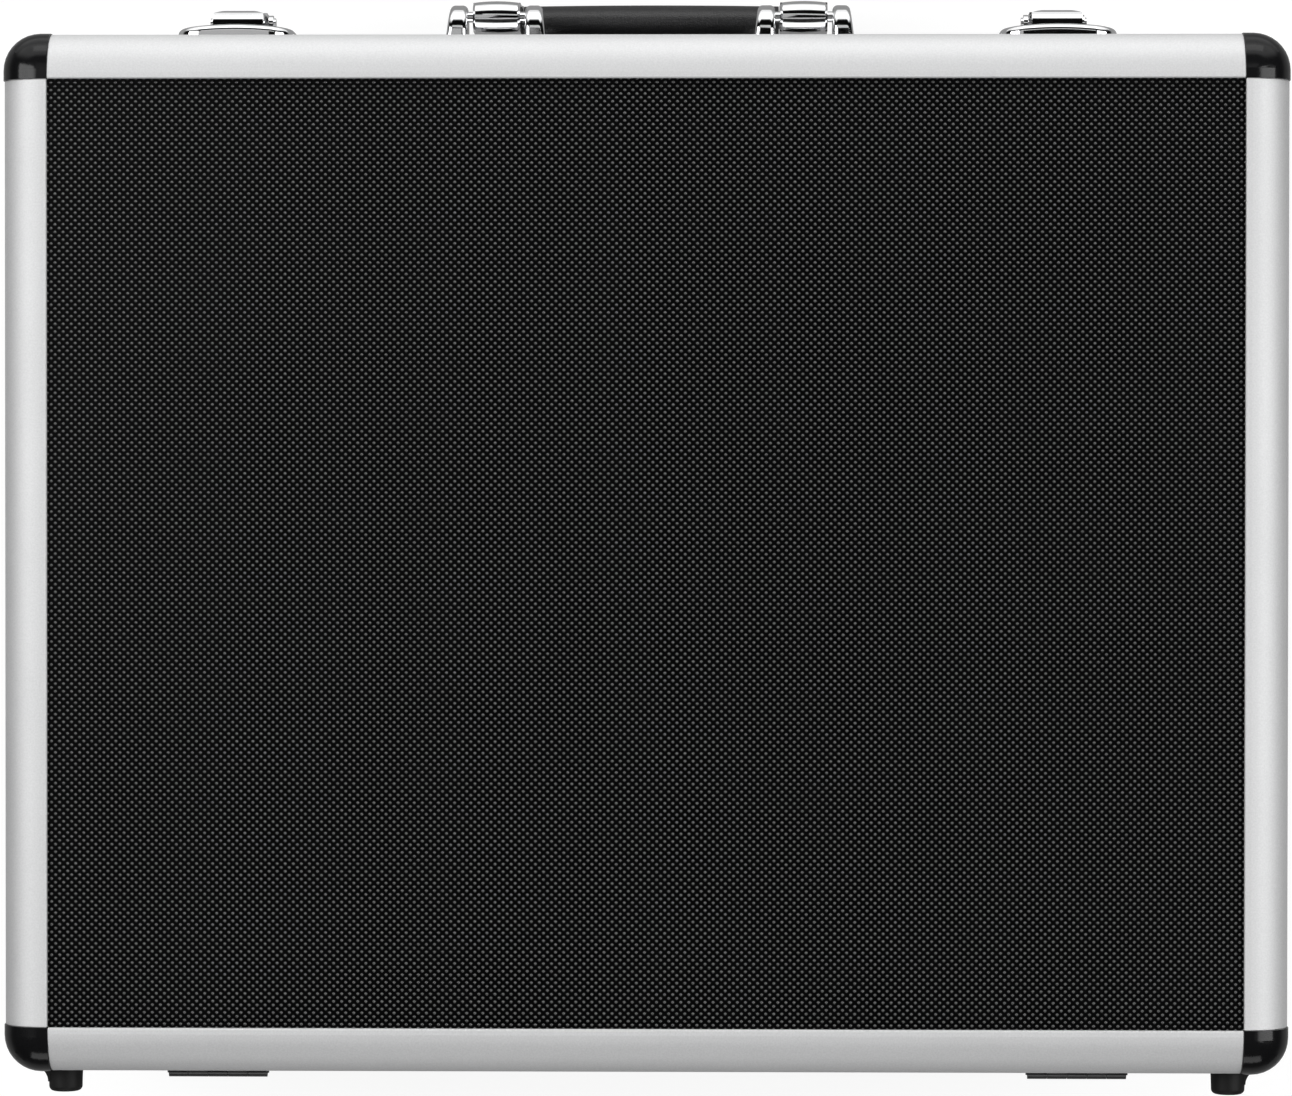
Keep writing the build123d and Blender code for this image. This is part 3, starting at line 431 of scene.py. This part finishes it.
def grained(name, base, tint, rough, grain_scale, grain_depth, detail=2.0, **sockets):
    """Material with a cloudy colour and roughness and a fine grained surface."""
    material, tree, shader = new_material(name, **sockets)
    place = object_place(tree)
    cloud = noise(tree, place, scale=24.0, detail=4.0)
    grain = noise(tree, place, grain_scale, detail)
    put(tree, shader, "Base Color", tinted(tree, grain, base, *tint))
    speckle = spread(tree, grain, *FINE_SPECKLE)
    put(tree, shader, "Roughness", maths(tree, "ADD", spread(tree, cloud, *rough), speckle))
    put(tree, shader, "Normal", bumped(tree, grain, grain_depth))
    return material


def aluminium():
    """Satin anodised aluminium with a fine blasted grain."""
    return grained(
        "satin_aluminium",
        bpy.context.scene.case_colours.aluminium,
        tint=(0.88, 1.07),
        rough=(0.66, 0.74),
        grain_scale=1600.0,
        grain_depth=0.000012,
        metallic=1.0,
    )


def corner_plastic():
    """Gloss black plastic with a faint moulding texture."""
    return grained(
        "gloss_corner_plastic",
        bpy.context.scene.case_colours.corner,
        tint=(0.8, 1.3),
        rough=(0.12, 0.18),
        grain_scale=1800.0,
        grain_depth=0.000004,
        specular_ior_level=0.25,
    )


def rubber():
    """Matt black rubber."""
    return grained(
        "foot_rubber",
        bpy.context.scene.case_colours.rubber,
        tint=(0.8, 1.4),
        rough=(0.48, 0.60),
        grain_scale=2200.0,
        grain_depth=0.00002,
        specular_ior_level=0.25,
    )


def hinge_paint():
    """Black stoved paint over steel."""
    return grained(
        "black_hinge_paint",
        bpy.context.scene.case_colours.hinge,
        tint=(0.75, 1.3),
        rough=(0.26, 0.36),
        grain_scale=1500.0,
        grain_depth=0.000012,
        coat_weight=0.15,
    )


def steel():
    """Plain bright-zinc steel."""
    return grained(
        "zinc_steel",
        bpy.context.scene.case_colours.steel,
        tint=(0.88, 1.08),
        rough=(0.24, 0.34),
        grain_scale=1300.0,
        grain_depth=0.000008,
        metallic=1.0,
    )


def chrome():
    """Bright plating over castings, barely rippled."""
    return grained(
        "bright_plating",
        bpy.context.scene.case_colours.chrome,
        tint=(0.95, 1.03),
        rough=(0.055, 0.10),
        grain_scale=220.0,
        grain_depth=0.000010,
        detail=1.0,
        metallic=1.0,
    )


def grip_plastic():
    """Soft-touch moulding with a leather grain, with painted shade in the creases between its
    pebbles.
    """
    colours = bpy.context.scene.case_colours
    material, tree, shader = new_material("leather_grain_grip", specular_ior_level=0.5)
    place = object_place(tree)
    edges = pattern(tree, place, "DISTANCE_TO_EDGE", scale=1100.0)
    grain = noise(tree, place, scale=900.0, detail=3.0)
    cloud = noise(tree, place, scale=30.0, detail=3.0)
    pebbles_and_crease_shade = spread(tree, edges, 0.0, 1.0, "SMOOTHSTEP", start=0.0, end=0.22)
    # The colour is darker in the creases between the pebbles, where the bump sinks: painted shade.
    put(tree, shader, "Base Color", tinted(tree, pebbles_and_crease_shade, colours.grip, dark=0.6, light=1.15))
    speckle = spread(tree, grain, *GRIP_SPECKLE)
    put(tree, shader, "Roughness", maths(tree, "ADD", spread(tree, cloud, *GRIP_ROUGH), speckle))
    fine = bumped(tree, grain, distance=0.00004, strength=0.6)
    put(tree, shader, "Normal", bumped(tree, pebbles_and_crease_shade, distance=0.00005, strength=0.8, under=fine))
    return material


PORE_SHADE_SHARE = 0.7  # how much of the foam's speckle is painted shade in its pores, the rest being random cloud


def foam_material(name, dark, light):
    """Open-celled charcoal foam, with painted shade in its pores."""
    colours = bpy.context.scene.case_colours
    material, tree, shader = new_material(name, roughness=0.95, specular_ior_level=0.2)
    place = object_place(tree)
    pores = pattern(tree, place, "F1", scale=950.0)
    cloud = noise(tree, place, scale=60.0, detail=4.0)
    open_cells = spread(tree, pores, 0.0, 1.0, "SMOOTHSTEP", start=0.1, end=0.6)
    pore_shade = maths(tree, "MULTIPLY", open_cells, PORE_SHADE_SHARE)
    speckle = maths(tree, "ADD", pore_shade, maths(tree, "MULTIPLY", cloud, 1 - PORE_SHADE_SHARE))
    # The colour is darker in the pores, where the bump dips: painted shade, mixed with a random
    # cloud.
    put(tree, shader, "Base Color", tinted(tree, speckle, colours.foam, dark, light))
    soft = bumped(tree, cloud, distance=0.0006, strength=0.5)
    rough = bumped(tree, open_cells, distance=0.00035, strength=0.9, under=soft)
    put(tree, shader, "Normal", rough)
    return material


# ------------------------------------------------------------------ embossed boards


SPARE_CELLS = 3  # cells added so that the turned grid is larger than any board


def lattice_sheet(wide, tall):
    """Flat sheet of diamonds at the origin, cut to a rectangle."""
    sizes = bpy.context.scene.case_sizes
    across = wide / sizes.lattice_run + tall / sizes.lattice_rise
    cells = 2 * math.ceil(across / 2) + SPARE_CELLS
    pick_nothing()
    bpy.ops.mesh.primitive_grid_add(
        x_subdivisions=cells,
        y_subdivisions=cells,
        size=cells / math.sqrt(2),
        rotation=(0, 0, QUARTER / 2),
    )
    sheet = bpy.context.object
    settle(sheet)
    sheet.scale = (sizes.lattice_run, sizes.lattice_rise, 1.0)
    settle(sheet)
    bpy.ops.object.mode_set(mode="EDIT")
    for side in (-1, 1):
        for edge, out in ((side * wide / 2, (side, 0, 0)), (side * tall / 2, (0, side, 0))):
            bpy.ops.mesh.select_all(action="SELECT")
            point = [edge * abs(axis) for axis in out]
            bpy.ops.mesh.bisect(plane_co=point, plane_no=out, clear_outer=True)
    bpy.ops.object.mode_set(mode="OBJECT")
    return sheet


def embossed_board(node):
    """Board with raised diamonds on its outer face, in the place of a plain one."""
    sizes = bpy.context.scene.case_sizes
    body, turn = BOARDS[node]
    low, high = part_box(node)
    turned = Euler(turn).to_matrix()
    span = Vector([abs(part) for part in turned.inverted() @ (high - low)])
    outward = turned @ Vector((0, 0, 1))
    face = (low + high) / 2 + outward * span.z / 2
    sheet = lattice_sheet(span.x, span.y)
    bpy.ops.object.mode_set(mode="EDIT")
    bpy.ops.mesh.select_mode(type="FACE")
    bpy.ops.mesh.select_all(action="SELECT")
    bpy.ops.mesh.poke(offset=sizes.emboss, use_relative_offset=False, center_mode="MEDIAN")
    thicken(-(span.z - sizes.emboss - sizes.board_clear))
    sheet.name = sheet.data.name = f"embossed_{node}"
    sheet.rotation_euler = turn
    sheet.location = face - outward * (sizes.emboss + sizes.board_clear)
    settle(sheet)
    bpy.ops.object.shade_smooth_by_angle(angle=SMOOTH_ANGLE)
    dress(sheet, body, "board_skin", skin_material(node, face, turn), node)


class CASE_OT_emboss_faces(bpy.types.Operator):
    """Make the embossed boards of the lid's top and the base's floor"""

    bl_idname = "case.emboss_faces"
    bl_label = "Emboss faces"

    def execute(self, context):
        for node in ("lid_top_panel", "base_floor_panel"):
            embossed_board(node)
        return {"FINISHED"}


class CASE_OT_emboss_walls(bpy.types.Operator):
    """Make the embossed boards of the base's and the lid's walls"""

    bl_idname = "case.emboss_walls"
    bl_label = "Emboss walls"

    def execute(self, context):
        for node in BOARDS:
            if "wall" in node:
                embossed_board(node)
        return {"FINISHED"}


# ------------------------------------------------------------------ foam linings


def soften(block, offset):
    """Rounds a foam block's level edges."""
    apply_modifier(
        block,
        "BEVEL",
        width=offset,
        segments=EDGE_STEPS,
        limit_method="ANGLE",
        angle_limit=EDGE_ANGLE,
    )
    only(block)
    bpy.ops.object.shade_smooth_by_angle(angle=SMOOTH_ANGLE)


class CASE_OT_foam_floor(bpy.types.Operator):
    """Make the foam pad on the base's floor"""

    bl_idname = "case.foam_floor"
    bl_label = "Foam floor"

    def execute(self, context):
        sizes = context.scene.case_sizes
        low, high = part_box("base_foam_floor")
        pad = rounded_block("foam_floor_pad", low, high, sizes.foam_corner)
        soften(pad, sizes.foam_edge / 2)
        material = foam_material("pad_foam", dark=0.55, light=1.5)
        dress(pad, "base", "foam", material, "base_foam_floor")
        return {"FINISHED"}


class CASE_OT_foam_insert(bpy.types.Operator):
    """Make the die-cut foam insert with a pocket for each thing that the case holds"""

    bl_idname = "case.foam_insert"
    bl_label = "Foam insert"

    def execute(self, context):
        sizes = context.scene.case_sizes
        low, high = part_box("base_foam_insert")
        insert = rounded_block("foam_insert", low, high, sizes.foam_corner)
        room = Vector((sizes.pocket_room, sizes.pocket_room, 0))
        past = Vector((0, 0, sizes.pocket_room))
        for name, (near, far) in OPENINGS.items():
            if not name.endswith("_pocket"):
                continue
            near = Vector((near[0], near[1], low.z)) - room - past
            far = Vector((far[0], far[1], high.z)) + room + past
            pocket = rounded_block(name, near, far, sizes.pocket_corner)
            apply_modifier(insert, "BOOLEAN", object=pocket, operation="DIFFERENCE", solver="EXACT")
            bpy.data.objects.remove(pocket)
        soften(insert, sizes.foam_edge)
        material = foam_material("insert_foam", dark=0.6, light=1.6)
        dress(insert, "base", "foam", material, "base_foam_insert")
        return {"FINISHED"}


class CASE_OT_lid_foam(bpy.types.Operator):
    """Make the convoluted foam in the lid"""

    bl_idname = "case.lid_foam"
    bl_label = "Lid foam"

    def execute(self, context):
        sizes = context.scene.case_sizes
        low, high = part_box("lid_foam")
        span, middle = high - low, (low + high) / 2
        waves = [round(side / sizes.foam_pitch) for side in (span.x, span.y)]
        pick_nothing()
        bpy.ops.mesh.primitive_grid_add(
            x_subdivisions=WAVE_CELLS * waves[0], y_subdivisions=WAVE_CELLS * waves[1], size=1.0
        )
        foam = context.object
        foam.name = foam.data.name = "lid_convoluted_foam"
        foam.scale = (span.x, span.y, 1.0)
        foam.location = (middle.x, middle.y, low.z + sizes.foam_depth / 2)
        settle(foam)
        bpy.ops.object.mode_set(mode="EDIT")
        half = [span.x / waves[0] / 2, span.y / waves[1] / 2]
        lift = sizes.foam_depth / 2 / WAVE_KEPT
        for parity, way in ((0, -1), (1, 1)):
            bpy.ops.mesh.select_mode(type="VERT")
            bpy.ops.mesh.select_all(action="DESELECT")
            shape = bmesh.from_edit_mesh(foam.data)
            for point in shape.verts:
                place = [(point.co.x - low.x) / half[0], (point.co.y - low.y) / half[1]]
                column, row = round(place[0]), round(place[1])
                off = abs(place[0] - column) + abs(place[1] - row)
                inside = 0 < column < 2 * waves[0] and 0 < row < 2 * waves[1]
                point.select_set(off < CREST_PLAY and inside and (column + row) % 2 == parity)
            bmesh.update_edit_mesh(foam.data)
            bpy.ops.transform.translate(value=(0, 0, way * lift))
        bpy.ops.object.mode_set(mode="OBJECT")
        apply_modifier(foam, "SUBSURF", levels=WAVE_LEVELS, render_levels=WAVE_LEVELS)
        bpy.ops.object.mode_set(mode="EDIT")
        thicken(high.z - low.z - sizes.foam_depth / 2)
        only(foam)
        bpy.ops.object.shade_smooth_by_angle(angle=SMOOTH_ANGLE)
        material = foam_material("convoluted_foam", dark=0.6, light=1.6)
        dress(foam, "lid", "foam", material, "lid_foam")
        return {"FINISHED"}


# ------------------------------------------------------------------ finishes


class CASE_OT_finish_metalwork(bpy.types.Operator):
    """Finish the extrusions, hinges, latches, handle, screws, corners, feet and grip"""

    bl_idname = "case.finish_metalwork"
    bl_label = "Finish parts"

    def execute(self, context):
        finish_nodes("rail_aluminium", aluminium())
        finish_nodes("corner_plastic", corner_plastic())
        finish_nodes("foot_rubber", rubber())
        finish_nodes("hinge_steel", hinge_paint())
        finish_nodes("plain_steel", steel())
        finish_nodes("bright_hardware", chrome())
        finish_nodes("grip_plastic", grip_plastic())
        return {"FINISHED"}


# ------------------------------------------------------------------ studio


def lamp(name, place, aim, size, radiance):
    """Soft rectangular lamp of some radiance, aimed at a point."""
    data = bpy.data.lights.new(name, "AREA")
    data.shape = "RECTANGLE"
    data.size, data.size_y = size
    level = bpy.context.scene.case_studio.lamp_level
    data.energy = radiance * size[0] * size[1] * math.pi * level
    lamp_object = bpy.data.objects.new(name, data)
    lamp_object.location = place
    lamp_object.rotation_euler = (Vector(aim) - Vector(place)).to_track_quat("-Z", "Y").to_euler()
    lamp_object.visible_camera = False
    bpy.context.scene.collection.objects.link(lamp_object)


# Each lamp: its place, its width and height, in metres, and its radiance.
LAMPS = (
    ("left_softbox", (-1.45, 0.25, 1.55), (0.9, 1.6), 4.65),
    ("right_softbox", (1.5, 0.0, 1.55), (0.9, 1.6), 4.9),
    ("handle_side_softbox", (0.1, 1.9, 0.75), (1.8, 0.7), 1.25),
    ("hinge_side_softbox", (0.0, -1.8, 0.8), (2.0, 0.7), 1.9),
    ("overhead_left_softbox", (-0.76, 0.35, 2.0), (0.75, 1.2), 0.45),
    ("overhead_back_softbox", (0.1, 0.68, 2.0), (1.2, 0.3), 0.6),
)
SENSOR = 36.0  # camera sensor's width, in millimetres
SIGHT = 200.0  # how far the camera sees, in metres
FLOOR_DROP = 0.0002  # how far the floor lies under the case
# How far a direction points to the handle side where the backdrop begins, and where it is whole.
BACKDROP_FROM = (0.45, 0.75)
BACKDROP_TOP = (0.60, 0.74)  # how far it points up where the backdrop begins to end, and ends
BACKDROP_LEVEL = 1.4  # brightness of the backdrop, where 1 is white
GLOW_FROM = (0.34, 0.56)  # metres past the middle between which the floor's glow comes in
FLOOR_FADE = (0.5, 1.3)  # metres from the middle between which the floor's colour goes dark
FLOOR_FAR = 0.03  # colour of the floor past that
MIRRORED = (0.12, 0.90)  # what reflections see of the plain floor and of the glowing floor
SEEN = (0.85, 1.0)  # what the camera sees of the near floor and of the far floor


def world(studio):
    """Dim ceiling over a pale backdrop on the handle side."""
    scene_world = bpy.data.worlds.new("studio")
    bpy.context.scene.world = scene_world
    scene_world.use_nodes = True
    tree = scene_world.node_tree
    direction = wire(tree, "ShaderNodeTexCoord", {}).outputs["Generated"]
    axes = wire(tree, "ShaderNodeSeparateXYZ", {"Vector": direction}).outputs
    sector = spread(tree, axes["Y"], 0.0, BACKDROP_LEVEL, "SMOOTHSTEP", *BACKDROP_FROM)
    below = spread(tree, axes["Z"], 1.0, 0.0, "SMOOTHSTEP", *BACKDROP_TOP)
    level = maths(tree, "MAXIMUM", maths(tree, "MULTIPLY", sector, below), studio.ceiling)
    seen = wire(tree, "ShaderNodeLightPath", {}).outputs["Is Camera Ray"]
    put(tree, tree.nodes["Background"], "Color", maths(tree, "MAXIMUM", level, seen))
    tree.nodes["Background"].inputs["Strength"].default_value = 1.0


def floor_material():
    """Pale floor that keeps its shadow and reads white to the camera; reflections see it dim, with
    a glowing stretch on the handle side.
    """
    colours = bpy.context.scene.case_colours
    material, tree, shader = new_material("pale_floor", roughness=0.9, specular_ior_level=0.0)
    place = object_place(tree)
    away = wire(tree, "ShaderNodeVectorMath", {0: place}, operation="LENGTH").outputs["Value"]
    far = spread(tree, away, 0.0, 1.0, "SMOOTHSTEP", *FLOOR_FADE)
    mottle = noise(tree, place, scale=3.0, detail=3.0)
    pale = tinted(tree, mottle, colours.floor, dark=0.985, light=1.015)
    dark = (FLOOR_FAR, FLOOR_FAR, FLOOR_FAR, 1.0)
    put(tree, shader, "Base Color", mixed(tree, far, pale, dark))
    along = wire(tree, "ShaderNodeSeparateXYZ", {"Vector": place}).outputs["Y"]
    towards = maths(tree, "DIVIDE", along, away)
    sector = spread(tree, towards, 0.0, 1.0, "SMOOTHSTEP", *BACKDROP_FROM)
    past = spread(tree, along, 0.0, 1.0, "SMOOTHSTEP", *GLOW_FROM)
    glowing = maths(tree, "MULTIPLY", maths(tree, "MULTIPLY", sector, past), MIRRORED[1])
    plain = spread(tree, far, MIRRORED[0], FLOOR_FAR)
    rays = wire(tree, "ShaderNodeLightPath", {}).outputs
    brighter = maths(tree, "MAXIMUM", glowing, plain)
    mirrored = maths(tree, "MULTIPLY", rays["Is Glossy Ray"], brighter)
    seen = maths(tree, "MAXIMUM", rays["Is Camera Ray"], rays["Is Transmission Ray"])
    whole = maths(tree, "MULTIPLY", seen, spread(tree, far, *SEEN))
    shader.inputs["Emission Color"].default_value = (1.0, 1.0, 1.0, 1.0)
    put(tree, shader, "Emission Strength", maths(tree, "MAXIMUM", whole, mirrored))
    return material


class CASE_OT_stage(bpy.types.Operator):
    """Set the floor, the lamps, the backdrop and the camera"""

    bl_idname = "case.stage"
    bl_label = "Stage"

    def execute(self, context):
        scene, studio = context.scene, context.scene.case_studio
        scene.view_settings.view_transform = "Standard"
        pick_nothing()
        bpy.ops.mesh.primitive_plane_add(size=studio.floor_size, location=(0, 0, -FLOOR_DROP))
        floor = context.object
        floor.name = "floor"
        floor.data.materials.append(floor_material())
        world(studio)
        low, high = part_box("lid_top_panel")
        middle = (low + high) / 2
        top = CAD_BOX[1].z
        for name, place, size, radiance in LAMPS:
            lamp(name, place, (middle.x, middle.y, top), size, radiance)
        camera = bpy.data.objects.new("camera", bpy.data.cameras.new("camera"))
        away = Vector((studio.camera_right, studio.camera_back, studio.camera_height))
        camera.location = Vector((middle.x, middle.y, top)) + away
        camera.rotation_euler = (studio.tilt, studio.lean, studio.turn)
        camera.data.lens = studio.lens
        camera.data.sensor_width = SENSOR
        camera.data.clip_end = SIGHT
        scene.collection.objects.link(camera)
        scene.camera = camera
        return {"FINISHED"}


# ------------------------------------------------------------------ add-on

OPERATORS = (
    CASE_OT_emboss_faces,
    CASE_OT_emboss_walls,
    CASE_OT_foam_floor,
    CASE_OT_foam_insert,
    CASE_OT_lid_foam,
    CASE_OT_finish_metalwork,
    CASE_OT_stage,
)
GROUPS = {"case_sizes": CaseSizes, "case_colours": CaseColours, "case_studio": CaseStudio}


class CASE_PT_panel(bpy.types.Panel):
    """Lists the case's operators and settings"""

    bl_idname = "CASE_PT_panel"
    bl_label = "Microphone case"
    bl_space_type = "VIEW_3D"
    bl_region_type = "UI"
    bl_category = "Case"

    def draw(self, context):
        for operator in OPERATORS:
            self.layout.operator(operator.bl_idname)
        for name, group in GROUPS.items():
            box = self.layout.box()
            for setting in group.__annotations__:
                box.prop(getattr(context.scene, name), setting)


def register():
    """Registers the settings, operators and panel."""
    for name, group in GROUPS.items():
        bpy.utils.register_class(group)
        setattr(bpy.types.Scene, name, bpy.props.PointerProperty(type=group))
    for each in (*OPERATORS, CASE_PT_panel):
        bpy.utils.register_class(each)


def unregister():
    """Takes them out again."""
    for each in (CASE_PT_panel, *reversed(OPERATORS)):
        bpy.utils.unregister_class(each)
    for name, group in GROUPS.items():
        delattr(bpy.types.Scene, name)
        bpy.utils.unregister_class(group)


def main():
    """Dresses the case and sets the stage."""
    register()
    for operator in OPERATORS:
        group, name = operator.bl_idname.split(".")
        getattr(getattr(bpy.ops, group), name)()


if __name__ == "__main__":
    main()
